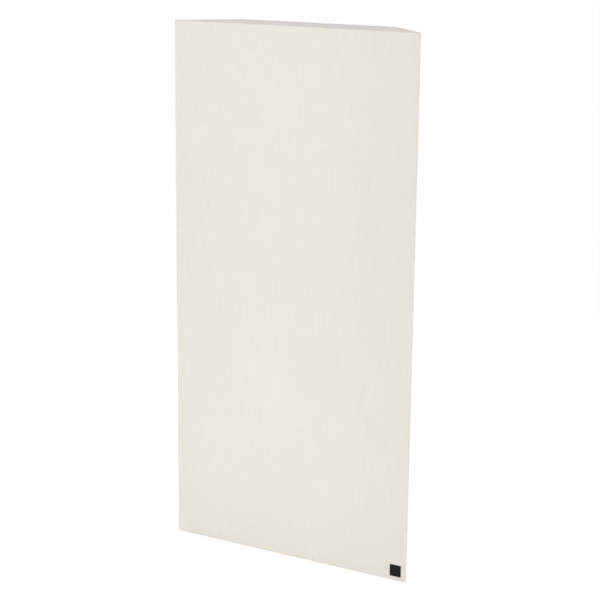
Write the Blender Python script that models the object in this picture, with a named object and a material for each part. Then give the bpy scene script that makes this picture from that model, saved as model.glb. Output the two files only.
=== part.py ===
"""A corner bass trap: mineral wool in a timber frame, wrapped in pale woven fabric.

Its plan is a trapezoid. The wide front looks into the room along -Y, and both long sides are cut
back at 45 degrees, so that the trap stands across a corner with a side flat against each wall.
Metres, +Z up. The origin is on the floor, in the middle of the footprint.
"""

import math

import bmesh
import bpy

# Overall size
WIDTH = 0.600
HEIGHT = 1.200
DEPTH = 0.114
EDGE_RADIUS = 0.0025  # wrapped vertical edges
RIM_RADIUS = 0.0020  # wrapped top and bottom edges

# Sheet goods and gaps
GAP = 0.0003  # between pieces that touch
FABRIC = 0.0010
TISSUE = 0.0004
BACK_CLOTH = 0.0005
HEM = 0.028  # fabric turned over onto the back
CLOTH_MARGIN = 0.008  # from the back's edges to the back cloth
TISSUE_MARGIN = 0.004

# Timber frame
PLATE = 0.012
RIB = 0.012
UPRIGHT = 0.018  # thickness of stiles and posts
STILE_WIDTH = 0.045
POST_WIDTH = 0.040
STRAP = 0.006
STRAP_WIDTH = 0.040
STRAP_FROM_END = 0.220
ARRIS_RADIUS = 0.0012
PLATE_CHAMFER = 0.0006

# Mineral wool
WOOL_GAP = 0.0005

# Label
LABEL_SIDE = 0.0270
LABEL_THICKNESS = 0.0005
LABEL_X = 0.2743
LABEL_Z = 0.0233

# Countersunk screws
HEAD_RADIUS = 0.0040
HEAD_LAND = 0.0004
SHANK_RADIUS = 0.0020
POINT_LENGTH = 0.0050
SCREW_SIDES = 12
PLATE_SCREW = 0.045
RIB_SCREW = 0.030
RIB_SCREW_MARGIN = 0.008  # from the inner edge of a stile or post
STRAP_SCREW = 0.016
HOLE_ABOVE_HEAD = 0.0020
HOLE_BELOW_POINT = 0.0010
STRAP_SCREW_SPREAD = 0.010  # from the strap's middle line

# Smoothness of the rounded edges
CORNER_SEGMENTS = 4
RIM_SEGMENTS = 3
SMOOTH_ANGLE = math.radians(40.0)

SQRT2 = math.sqrt(2.0)
FRONT_Y = -DEPTH / 2
BACK_Y = DEPTH / 2
SHARP_HALF_WIDTH = WIDTH / 2 + SQRT2 * EDGE_RADIUS  # where front and side would meet unrounded

# How far each layer lies inside the outer faces
HEM_INSET = BACK_CLOTH + GAP
FRAME_FRONT = FABRIC + GAP + TISSUE + GAP
FRAME_SIDE = FABRIC + GAP
FRAME_BACK = HEM_INSET + FABRIC + GAP
FRAME_END = FABRIC + GAP

FRAME_FRONT_Y = FRONT_Y + FRAME_FRONT
FRAME_BACK_Y = BACK_Y - FRAME_BACK
BAY_BOTTOM = FRAME_END + PLATE
BAY_TOP = HEIGHT - BAY_BOTTOM
MID_Z = HEIGHT / 2


def side_x(y, inset=0.0):
    """Half width of the plan at depth y, for a slanted side moved in by inset."""
    return SHARP_HALF_WIDTH - (y - FRONT_Y) - SQRT2 * inset


STILE_INNER_X = side_x(FRAME_FRONT_Y, FRAME_SIDE) - STILE_WIDTH
POST_INNER_X = side_x(FRAME_BACK_Y, FRAME_SIDE) - POST_WIDTH
STILE_BACK_Y = FRAME_FRONT_Y + UPRIGHT
POST_FRONT_Y = FRAME_BACK_Y - UPRIGHT
STRAP_FRONT_Y = FRAME_BACK_Y - STRAP


def clear_scene():
    for obj in list(bpy.data.objects):
        bpy.data.objects.remove(obj)


def material(name, colour, roughness, metallic=0.0):
    """A Principled material, made once for each name."""
    made = bpy.data.materials.get(name)
    if made:
        return made
    made = bpy.data.materials.new(name)
    made.use_nodes = True
    shader = made.node_tree.nodes["Principled BSDF"]
    shader.inputs["Base Color"].default_value = (*colour, 1.0)
    shader.inputs["Roughness"].default_value = roughness
    shader.inputs["Metallic"].default_value = metallic
    return made


def pale_fabric():
    return material("pale_fabric", (0.80, 0.77, 0.70), 0.92)


def black_cloth():
    return material("black_cloth", (0.016, 0.016, 0.018), 0.95)


def black_label():
    return material("black_label", (0.012, 0.012, 0.013), 0.60)


def glass_tissue():
    return material("glass_tissue", (0.80, 0.79, 0.74), 0.95)


def mineral_wool():
    return material("mineral_wool", (0.45, 0.38, 0.20), 1.00)


def mdf():
    return material("mdf", (0.42, 0.29, 0.17), 0.80)


def pine():
    return material("pine", (0.62, 0.44, 0.24), 0.65)


def plywood():
    return material("plywood", (0.58, 0.42, 0.25), 0.70)


def zinc_steel():
    return material("zinc_steel", (0.62, 0.56, 0.40), 0.35, 1.0)


def add_object(name, mesh, surface=None):
    """Turns a bmesh into an object, with its material, in the scene."""
    bmesh.ops.recalc_face_normals(mesh, faces=mesh.faces)
    data = bpy.data.meshes.new(name)
    mesh.to_mesh(data)
    mesh.free()
    if surface:
        data.materials.append(surface)
    obj = bpy.data.objects.new(name, data)
    bpy.context.scene.collection.objects.link(obj)
    return obj


def arc(centre, radius, start, end):
    """Plan points on a rounded corner, from one angle to another in degrees."""
    points = []
    for step in range(CORNER_SEGMENTS + 1):
        angle = math.radians(start + (end - start) * step / CORNER_SEGMENTS)
        x = centre[0] + radius * math.cos(angle)
        y = centre[1] + radius * math.sin(angle)
        points.append((x, y))
    return points


def front_corner(front, side, radius):
    """The right front corner, for faces that lie front and side inside the outer ones."""
    y = FRONT_Y + front + radius
    return arc((side_x(y, side + radius), y), radius, -90, 45)


def back_corner(back, side, radius):
    y = BACK_Y - back - radius
    return arc((side_x(y, side + radius), y), radius, 45, 90)


def mirrored(outline):
    return [(-x, y) for x, y in reversed(outline)]


def trapezoid(front, side, back, radius):
    """The whole plan, counterclockwise from above, with its four corners rounded."""
    right = front_corner(front, side, radius) + back_corner(back, side, radius)
    return right + mirrored(right)


def rectangle(x0, x1, y0, y1):
    return [(x0, y0), (x1, y0), (x1, y1), (x0, y1)]


def prism(name, outline, bottom, top, surface):
    """A solid with this plan outline that stands from bottom to top."""
    mesh = bmesh.new()
    base = mesh.faces.new([mesh.verts.new((x, y, 0.0)) for x, y in outline])
    grown = bmesh.ops.extrude_face_region(mesh, geom=[base])["geom"]
    raised = [item for item in grown if isinstance(item, bmesh.types.BMVert)]
    bmesh.ops.translate(mesh, vec=(0.0, 0.0, top - bottom), verts=raised)
    obj = add_object(name, mesh, surface)
    obj.location.z = bottom
    return obj


def rounded_block(name, inset, surface=None):
    """The wrapped shape, inset all round, with its top and bottom rims rounded ring by ring."""
    radius = RIM_RADIUS - inset
    rings = []
    for step in range(RIM_SEGMENTS + 1):
        angle = math.radians(90.0 * step / RIM_SEGMENTS)
        drawn_in = inset + radius * (1.0 - math.cos(angle))
        height = inset + radius * (1.0 - math.sin(angle))
        outline = trapezoid(drawn_in, drawn_in, HEM_INSET + drawn_in, EDGE_RADIUS - drawn_in)
        rings.append((outline, height))
    foot = list(reversed(rings))
    head = [(outline, HEIGHT - height) for outline, height in rings]
    mesh = bmesh.new()
    loops = [[mesh.verts.new((x, y, z)) for x, y in outline] for outline, z in foot + head]
    for below, above in zip(loops, loops[1:]):
        for i in range(len(below)):
            j = (i + 1) % len(below)
            mesh.faces.new((below[i], below[j], above[j], above[i]))
    mesh.faces.new(list(reversed(loops[0])))
    mesh.faces.new(loops[-1])
    return add_object(name, mesh, surface)


def make_cutter(obj):
    obj.hide_render = True
    obj.display_type = "WIRE"
    return obj


def subtract(obj, cutter):
    """Cuts an object, or every object of a collection, out of a piece."""
    cut = obj.modifiers.new("Cut", "BOOLEAN")
    cut.operation = "DIFFERENCE"
    cut.solver = "EXACT"
    if isinstance(cutter, bpy.types.Collection):
        cut.operand_type = "COLLECTION"
        cut.collection = cutter
    else:
        cut.object = cutter


def turned(profile):
    """A mesh turned round Z from a profile of (radius, height) points that starts and ends on it."""
    mesh = bmesh.new()
    line = [mesh.verts.new((radius, 0.0, height)) for radius, height in profile]
    edges = [mesh.edges.new(pair) for pair in zip(line, line[1:])]
    bmesh.ops.spin(
        mesh,
        geom=line + edges,
        cent=(0.0, 0.0, 0.0),
        axis=(0.0, 0.0, 1.0),
        angle=2.0 * math.pi,
        steps=SCREW_SIDES,
        use_duplicate=False,
    )
    bmesh.ops.remove_doubles(mesh, verts=mesh.verts, dist=1e-6)
    return mesh


def screw_profile(length, clearance=0.0, above=0.0, below=0.0):
    """Countersunk screw with its head's top at Z = 0 and its point down, or the hole for it."""
    head = HEAD_RADIUS + clearance
    shank = SHANK_RADIUS + clearance
    return [
        (0.0, above),
        (head, above),
        (head, -HEAD_LAND),
        (shank, -HEAD_LAND - (HEAD_RADIUS - SHANK_RADIUS)),
        (shank, POINT_LENGTH - length),
        (0.0, -length - below),
    ]


def add_screw(name, length, place, turn, holes):
    """A screw and the cutter for its hole. turn tips the point from -Z, about X, in degrees."""
    screw = add_object(name, turned(screw_profile(length)), zinc_steel())
    screw.data.shade_smooth()
    screw.data.set_sharp_from_angle(angle=SMOOTH_ANGLE)
    bore = screw_profile(length, GAP, HOLE_ABOVE_HEAD, HOLE_BELOW_POINT)
    hole = make_cutter(add_object(name + "_hole", turned(bore)))
    bpy.context.scene.collection.objects.unlink(hole)
    holes.objects.link(hole)
    for obj in (screw, hole):
        obj.location = place
        obj.rotation_euler.x = math.radians(turn)


def upright_middles():
    """Plan places for screws down the middle of each upright, by the upright's name."""
    stile_x = STILE_INNER_X + (STILE_WIDTH - UPRIGHT / 2) / 2
    stile_y = FRAME_FRONT_Y + UPRIGHT / 2
    post_x = POST_INNER_X + (POST_WIDTH + UPRIGHT / 2) / 2
    post_y = FRAME_BACK_Y - UPRIGHT / 2
    return {
        "front_left": (-stile_x, stile_y),
        "front_right": (stile_x, stile_y),
        "rear_left": (-post_x, post_y),
        "rear_right": (post_x, post_y),
    }


def strap_heights():
    return {"lower": STRAP_FROM_END, "upper": HEIGHT - STRAP_FROM_END}


def add_screws():
    """All the screws of the frame, and the collection of cutters for their holes."""
    holes = bpy.data.collections.new("screw_holes")
    bpy.context.scene.collection.children.link(holes)
    for upright, (x, y) in upright_middles().items():
        add_screw(f"plate_screw_bottom_{upright}", PLATE_SCREW, (x, y, FRAME_END), 180, holes)
        add_screw(f"plate_screw_top_{upright}", PLATE_SCREW, (x, y, HEIGHT - FRAME_END), 0, holes)
        at_front = upright.startswith("front")
        inner_x = STILE_INNER_X if at_front else POST_INNER_X
        rib_x = math.copysign(inner_x + RIB_SCREW_MARGIN, x)
        head_y = FRAME_FRONT_Y if at_front else FRAME_BACK_Y
        turn = 90 if at_front else -90
        add_screw(f"rib_screw_{upright}", RIB_SCREW, (rib_x, head_y, MID_Z), turn, holes)
    for level, height in strap_heights().items():
        for hand, sign in (("left", -1), ("right", 1)):
            for place, lean in (("a", -1), ("b", 1)):
                x = sign * (POST_INNER_X + POST_WIDTH / 2 + lean * STRAP_SCREW_SPREAD)
                z = height + lean * STRAP_SCREW_SPREAD
                name = f"strap_screw_{level}_{hand}_{place}"
                add_screw(name, STRAP_SCREW, (x, FRAME_BACK_Y, z), -90, holes)
    return holes


def add_end_plates(holes):
    """MDF trapezoids that close the frame and give the wrap its crisp top and bottom."""
    outline = trapezoid(FRAME_FRONT, FRAME_SIDE, FRAME_BACK, ARRIS_RADIUS)
    for name, bottom in (("bottom_plate", FRAME_END), ("top_plate", HEIGHT - FRAME_END - PLATE)):
        plate = prism(name, outline, bottom, bottom + PLATE, mdf())
        chamfer = plate.modifiers.new("Eased arris", "BEVEL")
        chamfer.width = PLATE_CHAMFER
        chamfer.segments = 1
        chamfer.limit_method = "ANGLE"
        chamfer.angle_limit = SMOOTH_ANGLE
        subtract(plate, holes)


def stile_outline():
    """A ripped strip behind the front edge, its outer edge cut to the side's 45 degrees."""
    tip = front_corner(FRAME_FRONT, FRAME_SIDE, ARRIS_RADIUS)
    outer = (side_x(STILE_BACK_Y, FRAME_SIDE), STILE_BACK_Y)
    return tip + [outer, (STILE_INNER_X, STILE_BACK_Y), (STILE_INNER_X, FRAME_FRONT_Y)]


def post_outline():
    tip = back_corner(FRAME_BACK, FRAME_SIDE, ARRIS_RADIUS)
    inner = [(POST_INNER_X, FRAME_BACK_Y), (POST_INNER_X, POST_FRONT_Y)]
    return tip + inner + [(side_x(POST_FRONT_Y, FRAME_SIDE), POST_FRONT_Y)]


def strap_notches():
    """Cutters for the seats that the straps take in the back of the posts."""
    notches = bpy.data.collections.new("strap_notches")
    bpy.context.scene.collection.children.link(notches)
    outline = rectangle(-WIDTH / 2, WIDTH / 2, STRAP_FRONT_Y - GAP, BACK_Y)
    for level, height in strap_heights().items():
        low = height - STRAP_WIDTH / 2 - GAP
        high = height + STRAP_WIDTH / 2 + GAP
        notch = make_cutter(prism(f"notch_{level}", outline, low, high, None))
        bpy.context.scene.collection.objects.unlink(notch)
        notches.objects.link(notch)
    return notches


def add_uprights(holes):
    """Two stiles at the front edges and two posts at the back ones, between the end plates."""
    notches = strap_notches()
    for kind, outline in (("front_stile", stile_outline()), ("rear_post", post_outline())):
        for hand, plan in (("right", outline), ("left", mirrored(outline))):
            upright = prism(f"{kind}_{hand}", plan, BAY_BOTTOM + GAP, BAY_TOP - GAP, pine())
            if kind == "rear_post":
                subtract(upright, notches)
            subtract(upright, holes)


def notched_outline(front_y, back_y, side, clearance):
    """Plan of a filling between front_y and back_y, cut round the stiles and posts it meets."""
    right = []
    if front_y < STILE_BACK_Y:
        inner = STILE_INNER_X - clearance
        shoulder = STILE_BACK_Y + clearance
        right += [(inner, front_y), (inner, shoulder), (side_x(shoulder, side), shoulder)]
    else:
        right.append((side_x(front_y, side), front_y))
    if back_y > POST_FRONT_Y:
        inner = POST_INNER_X - clearance
        shoulder = POST_FRONT_Y - clearance
        right += [(side_x(shoulder, side), shoulder), (inner, shoulder), (inner, back_y)]
    else:
        right.append((side_x(back_y, side), back_y))
    return right + mirrored(right)


def add_rib(holes):
    """A plywood web half way up, which holds the depth and parts the two bays."""
    outline = notched_outline(FRAME_FRONT_Y, FRAME_BACK_Y, FRAME_SIDE, GAP)
    rib = prism("mid_rib", outline, MID_Z - RIB / 2, MID_Z + RIB / 2, plywood())
    subtract(rib, holes)


def add_straps(holes):
    """Plywood straps across the back, flush in the posts, which keep the wool in its bays."""
    right = [(side_x(STRAP_FRONT_Y, FRAME_SIDE), STRAP_FRONT_Y)]
    right += back_corner(FRAME_BACK, FRAME_SIDE, ARRIS_RADIUS)
    for level, height in strap_heights().items():
        low = height - STRAP_WIDTH / 2
        strap = prism(f"back_strap_{level}", right + mirrored(right), low, low + STRAP_WIDTH, plywood())
        subtract(strap, holes)


def add_core():
    """Mineral wool in two layers and two bays, cut round the uprights."""
    front_y = FRAME_FRONT_Y + WOOL_GAP
    back_y = STRAP_FRONT_Y - WOOL_GAP
    middle_y = (front_y + back_y) / 2
    layers = {
        "front": (front_y, middle_y - WOOL_GAP / 2),
        "rear": (middle_y + WOOL_GAP / 2, back_y),
    }
    bays = {
        "lower": (BAY_BOTTOM + WOOL_GAP, MID_Z - RIB / 2 - WOOL_GAP),
        "upper": (MID_Z + RIB / 2 + WOOL_GAP, BAY_TOP - WOOL_GAP),
    }
    for layer, (y0, y1) in layers.items():
        outline = notched_outline(y0, y1, FABRIC + WOOL_GAP, WOOL_GAP)
        for bay, (bottom, top) in bays.items():
            prism(f"core_{layer}_{bay}", outline, bottom, top, mineral_wool())


def add_scrim():
    """Glass tissue over the face of the core, under the fabric."""
    half = side_x(FRAME_FRONT_Y, FRAME_SIDE) - TISSUE_MARGIN
    front_y = FRONT_Y + FABRIC + GAP
    low = FRAME_END + TISSUE_MARGIN
    outline = rectangle(-half, half, front_y, front_y + TISSUE)
    prism("front_scrim", outline, low, HEIGHT - low, glass_tissue())


def add_cover():
    """One piece of fabric round everything, turned over onto the back as a hem."""
    cover = rounded_block("fabric_cover", 0.0, pale_fabric())
    cover.data.shade_smooth()
    cover.data.set_sharp_from_angle(angle=SMOOTH_ANGLE)
    hollow = make_cutter(rounded_block("cover_hollow", FABRIC))
    half = side_x(BACK_Y) - HEM
    outline = rectangle(-half, half, 0.0, BACK_Y)
    window = make_cutter(prism("cover_window", outline, HEM, HEIGHT - HEM, None))
    subtract(cover, hollow)
    subtract(cover, window)


def add_back_cloth():
    """Black dust cloth over the back, which hides the fabric's hem."""
    half = side_x(BACK_Y) - CLOTH_MARGIN
    outline = rectangle(-half, half, BACK_Y - BACK_CLOTH, BACK_Y)
    prism("back_cloth", outline, CLOTH_MARGIN, HEIGHT - CLOTH_MARGIN, black_cloth())


def add_label():
    """Bare woven label, low on the right of the front."""
    back_y = FRONT_Y - GAP
    half = LABEL_SIDE / 2
    outline = rectangle(-half, half, -LABEL_THICKNESS, 0.0)
    label = prism("label", outline, LABEL_Z - half, LABEL_Z + half, black_label())
    label.location.x = LABEL_X
    label.location.y = back_y


def main():
    clear_scene()
    holes = add_screws()
    add_end_plates(holes)
    add_uprights(holes)
    add_rib(holes)
    add_straps(holes)
    add_core()
    add_scrim()
    add_cover()
    add_back_cloth()
    add_label()


main()
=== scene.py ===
# %% [markdown]
# # Corner bass trap
#
# A bass trap is a deep block of mineral wool that soaks up low notes in the corner of a studio. This
# one is a tall prism: a wide front, two long sides cut back at 45 degrees to lie against the walls, and
# a narrow back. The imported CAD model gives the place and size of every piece. The cells below dress it:
# cloth with folds, staples, stitches, wool, timber and zinc are made in the model's own frame, in
# metres, so that nothing has to be fitted by eye.

import math

import bmesh
import bpy
import numpy as np
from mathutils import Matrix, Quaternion, Vector, noise


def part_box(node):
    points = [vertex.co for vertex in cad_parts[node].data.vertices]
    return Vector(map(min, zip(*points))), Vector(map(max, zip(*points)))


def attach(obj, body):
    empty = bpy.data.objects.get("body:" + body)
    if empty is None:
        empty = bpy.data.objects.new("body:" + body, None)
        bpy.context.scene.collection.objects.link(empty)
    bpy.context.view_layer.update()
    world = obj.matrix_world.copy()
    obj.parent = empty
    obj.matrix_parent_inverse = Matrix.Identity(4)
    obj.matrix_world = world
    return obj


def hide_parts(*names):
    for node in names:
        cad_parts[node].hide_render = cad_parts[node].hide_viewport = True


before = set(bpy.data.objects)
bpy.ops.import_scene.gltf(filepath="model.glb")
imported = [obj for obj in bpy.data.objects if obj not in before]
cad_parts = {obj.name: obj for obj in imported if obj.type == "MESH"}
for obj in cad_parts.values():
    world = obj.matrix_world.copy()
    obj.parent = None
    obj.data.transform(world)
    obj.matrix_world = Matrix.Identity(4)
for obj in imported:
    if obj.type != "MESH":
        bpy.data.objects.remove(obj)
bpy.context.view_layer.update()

# %% [markdown]
# ## Sizes
#
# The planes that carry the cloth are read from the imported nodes. The plan of the trap follows one rule:
# at 45 degrees the half width shrinks by a millimetre for every millimetre of depth. The rule is written
# once here, with the half width that the front would have if its edges were sharp.

# %% Measure the planes that carry the cloth
cover_low, cover_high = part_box("fabric_cover")
FRONT_Y = cover_low.y
HEM_Y = cover_high.y
TOP_Z = cover_high.z
MIDDLE_Z = (cover_low.z + cover_high.z) / 2
HALF_WIDTH = 0.300
BEND_RADIUS = 0.0025
SHARP_HALF_WIDTH = HALF_WIDTH + BEND_RADIUS * math.sqrt(2)


def half_width(y, inset=0.0):
    """Half the width of the plan at depth y, a distance inset inside the slanted side."""
    return SHARP_HALF_WIDTH - (y - FRONT_Y) - inset * math.sqrt(2)


print("half width, front and back:", round(half_width(FRONT_Y), 4), round(half_width(HEM_Y), 4))

# %% [markdown]
# ## Camera
#
# The camera stands to the right of the trap, a little above its top. Its place came from the corners of
# the photographed panel: with a plan of known proportions, six corners are enough to solve for the
# distance, the lens and the small roll. A long lens keeps the sides nearly parallel.

# %% Set the camera
CAMERA_TARGET = Vector((-0.0043, -0.0039, 0.5913))
CAMERA_AZIMUTH = math.radians(29.487)
CAMERA_ELEVATION = math.radians(13.789)
CAMERA_DISTANCE = 3.6161
CAMERA_ROLL = math.radians(0.586)
CAMERA_LENS = 97.13
SENSOR_WIDTH = 36.0


def add_object(name, data):
    """A new object at the origin, linked to the scene."""
    made = bpy.data.objects.new(name, data)
    bpy.context.scene.collection.objects.link(made)
    return made


def aim(thing, place, direction, roll=0.0):
    """Puts a camera or a lamp in its place, looking along a direction."""
    thing.location = place
    thing.rotation_mode = "QUATERNION"
    thing.rotation_quaternion = direction.to_track_quat("-Z", "Y") @ Quaternion((0.0, 0.0, 1.0), roll)


camera = add_object("camera", bpy.data.cameras.new("camera"))
camera.data.lens = CAMERA_LENS
camera.data.sensor_width = SENSOR_WIDTH
towards_camera = Vector((
    math.sin(CAMERA_AZIMUTH) * math.cos(CAMERA_ELEVATION),
    -math.cos(CAMERA_AZIMUTH) * math.cos(CAMERA_ELEVATION),
    math.sin(CAMERA_ELEVATION),
))
aim(camera, CAMERA_TARGET + towards_camera * CAMERA_DISTANCE, -towards_camera, CAMERA_ROLL)
bpy.context.scene.camera = camera
bpy.context.scene.view_settings.view_transform = "Standard"
print("camera at", tuple(round(value, 3) for value in camera.location))

# %% [markdown]
# ## Node helpers
#
# A finish is easier to read as arithmetic than as a picture of boxes. A Wire is one value inside a node
# tree, and Python's operators on it add Math nodes. Every other node comes from one method, which sets
# the node's own settings first and then its sockets. The same two classes serve shaders and Geometry
# Nodes, since a Math node, a vector and a noise look alike in both.


# %% Wires and trees
def operator(operation, reflected=False):
    """A Python operator that adds a Math node."""
    def act(wire, other):
        return wire.tree.arithmetic(operation, *((other, wire) if reflected else (wire, other)))
    return act


class Wire:
    """One value in a node tree."""

    __add__ = __radd__ = operator("ADD")
    __mul__ = __rmul__ = operator("MULTIPLY")
    __sub__ = operator("SUBTRACT")
    __rsub__ = operator("SUBTRACT", reflected=True)
    __truediv__ = operator("DIVIDE")
    __pow__ = operator("POWER")

    def __init__(self, tree, socket):
        self.tree = tree
        self.socket = socket

    def __neg__(self):
        return self * -1.0

    def __abs__(self):
        return self.math("ABSOLUTE")

    def math(self, operation, *others):
        return self.tree.arithmetic(operation, self, *others)

    def clamped(self):
        """The value, held between 0 and 1."""
        return self.math("MAXIMUM", 0.0).math("MINIMUM", 1.0)

    def wave(self, pitch):
        """A sine that crosses zero once in every pitch."""
        return (self * (math.pi / pitch)).math("SINE")


class Tree:
    """A node tree, the one method that adds a node to it, and short words for common nodes."""

    def __init__(self, node_tree):
        self.node_tree = node_tree

    def node(self, kind, settings=None, inputs=None, output=0):
        """Adds a node: its settings first, then the values or links of its sockets."""
        made = self.node_tree.nodes.new(kind)
        for name, value in (settings or {}).items():
            if name == "stops":
                set_stops(made.color_ramp, value)
            else:
                setattr(made, name, value)
        for name, value in (inputs or {}).items():
            if isinstance(value, (Wire, list)):
                for wire in value if isinstance(value, list) else [value]:
                    self.node_tree.links.new(wire.socket, made.inputs[name])
            else:
                made.inputs[name].default_value = value
        return Wire(self, made.outputs[output]) if made.outputs else made

    def arithmetic(self, operation, *values):
        return self.node("ShaderNodeMath", {"operation": operation}, dict(enumerate(values)))

    def vector(self, x=0.0, y=0.0, z=0.0):
        return self.node("ShaderNodeCombineXYZ", {}, {"X": x, "Y": y, "Z": z})

    def split(self, vector, axes="XYZ"):
        return [self.node("ShaderNodeSeparateXYZ", {}, {0: vector}, axis) for axis in axes]

    def noise(self, x, y, z=0.0, detail=2.0, roughness=0.5):
        """Noise from 0 to 1 at scaled coordinates, so that its spots can be stretched."""
        sizes = {"Vector": self.vector(x, y, z), "Scale": 1.0, "Detail": detail, "Roughness": roughness}
        return self.node("ShaderNodeTexNoise", {}, sizes)


def set_stops(ramp, stops):
    """Gives a colour ramp its stops, as (place, colour) pairs."""
    while len(ramp.elements) < len(stops):
        ramp.elements.new(1.0)
    for element, (place, colour) in zip(ramp.elements, stops):
        element.position = place
        element.color = (*colour, 1.0)


def emptied(owner):
    """The cleared node tree of a material or a world."""
    owner.use_nodes = True
    owner.node_tree.nodes.clear()
    return owner.node_tree


print("a wire takes + - * / ** and abs()")

# %% [markdown]
# A material adds a few words of its own: the axes that its grain follows, a mix or a ramp of colours, a
# bump, and the Principled shader at the end. The axes are a point's place in the frame, or on cloth its
# place on the flat sheet, in metres either way. What is the same all over a surface is set on the
# shader's sockets as a plain number.


# %% The words that finishes are written in
class Finish(Tree):
    """A material under construction."""

    def __init__(self, name, on_cloth=False):
        self.material = bpy.data.materials.new(name)
        super().__init__(emptied(self.material))
        if on_cloth:
            self.axes = self.split(self.node("ShaderNodeUVMap", {"uv_map": "flat"}), "XY")
        else:
            self.axes = self.split(self.node("ShaderNodeTexCoord", {}, {}, "Object"))

    def grain(self, scales, detail=2.0, roughness=0.5, layer=0.0):
        """Noise with its own scale along each axis. On cloth, each layer is another pattern."""
        scaled = [axis * scale for axis, scale in zip(self.axes, scales)]
        x, y, z = scaled if len(scaled) == 3 else (*scaled, layer)
        return self.noise(x, y, z, detail, roughness)

    def mix(self, light, dark_colour, light_colour):
        """A mix of two colours."""
        sockets = {0: light, 6: (*dark_colour, 1.0), 7: (*light_colour, 1.0)}
        return self.node("ShaderNodeMix", {"data_type": "RGBA"}, sockets, 2)

    def ramp(self, light, *stops):
        """A run of colours, each at its place between 0 and 1."""
        return self.node("ShaderNodeValToRGB", {"stops": stops}, {0: light})

    def bump(self, height, distance, strength):
        return self.node("ShaderNodeBump", {}, {"Height": height, "Distance": distance, "Strength": strength})

    def surface(self, sockets):
        """Ends the material in a Principled shader."""
        shader = self.node("ShaderNodeBsdfPrincipled", {}, sockets)
        self.node("ShaderNodeOutputMaterial", {}, {"Surface": shader})
        print("finish", self.material.name, "has", len(self.node_tree.nodes), "nodes")
        return self.material


print("a finish on cloth follows its flat place, any other its place in the frame")

# %% [markdown]
# ## Floor, world and lamps
#
# The photograph is a cut-out on white. Camera rays see the world and the floor as plain white, and only
# a faint contact shadow stays on the floor. For all other rays the world is a grey that renders a colour
# about as it is written. Two small soft lamps stand in front, one for the upper half and one for the
# foot, so that the tall face is even. One behind on the left and one on the right light the sides.

# %% Make the stage
FLOOR_HALF = 60.0
FLOOR_GREY = (0.9, 0.9, 0.9, 1.0)
FLOOR_GLOW = 1.13
FLOOR_SHADE = 0.30
WORLD_LIGHT = (0.758, 0.742, 0.790, 1.0)
WHITE = (1.0, 1.0, 1.0, 1.0)


def seen_directly(tree):
    """1 for rays from the camera, from a mirror or through glass, and 0 for light."""
    path = ("Is Camera Ray", "Is Glossy Ray", "Is Transmission Ray")
    rays = [tree.node("ShaderNodeLightPath", {}, {}, name) for name in path]
    return rays[0].math("MAXIMUM", rays[1]).math("MAXIMUM", rays[2])


world = bpy.data.worlds.new("room")
sky = Tree(emptied(world))
room = sky.node("ShaderNodeBackground", {}, {"Color": WORLD_LIGHT, "Strength": 1.0})
white = sky.node("ShaderNodeBackground", {}, {"Color": WHITE, "Strength": 1.0})
both = sky.node("ShaderNodeMixShader", {}, {0: seen_directly(sky), 1: room, 2: white})
sky.node("ShaderNodeOutputWorld", {}, {"Surface": both})
bpy.context.scene.world = world

floor_material = bpy.data.materials.new("floor_white")
ground = Tree(emptied(floor_material))
matt = ground.node("ShaderNodeBsdfDiffuse", {}, {"Color": FLOOR_GREY})
glow = ground.node("ShaderNodeEmission", {}, {"Color": WHITE, "Strength": FLOOR_GLOW})
share = seen_directly(ground) * (1.0 - FLOOR_SHADE)
both = ground.node("ShaderNodeMixShader", {}, {0: share, 1: matt, 2: glow})
ground.node("ShaderNodeOutputMaterial", {}, {"Surface": both})

floor_mesh = bpy.data.meshes.new("floor")
floor_corners = [(x * FLOOR_HALF, y * FLOOR_HALF, 0.0) for x, y in ((-1, -1), (1, -1), (1, 1), (-1, 1))]
floor_mesh.from_pydata(floor_corners, [], [(0, 1, 2, 3)])
floor_mesh.materials.append(floor_material)
floor = add_object("floor", floor_mesh)
print("floor and world ready")

# %% Hang the lamps
FRONT_TINT = (0.99, 1.0, 0.86)


def add_softbox(name, place, target, size, power, tint):
    """A rectangular lamp that camera rays don't see."""
    lamp = add_object(name, bpy.data.lights.new(name, "AREA"))
    lamp.data.shape = "RECTANGLE"
    lamp.data.size, lamp.data.size_y = size
    lamp.data.energy = power
    lamp.data.color = tint
    aim(lamp, place, Vector(target) - Vector(place))
    lamp.visible_camera = False


add_softbox("front_high", (-0.06, -1.06, 1.25), (-0.06, 0.0, 1.25), (0.4, 0.5), 2.96, FRONT_TINT)
add_softbox("front_low", (-0.06, -1.06, 0.14), (-0.06, 0.0, 0.10), (0.4, 0.24), 2.16, FRONT_TINT)
add_softbox("back_left", (-1.6, 1.5, 1.0), (0.0, 0.0, 0.6), (1.2, 1.8), 15.0, (1.0, 0.985, 0.98))
add_softbox("side_right", (2.1, 0.6, 0.75), (0.0, 0.0, 0.6), (1.2, 1.2), 11.0, (0.98, 0.99, 1.0))
print("lamps:", [lamp.name for lamp in bpy.data.lights])

# %% [markdown]
# ## Mesh helpers
#
# Cloth is built from patches: grids of points that run along its flats and round its bends. Each point
# also keeps its place on the flat cloth, before it was wrapped. That pair becomes a UV map in metres,
# so that the weave keeps its scale and runs over the edges as it does on the real cover.


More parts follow.
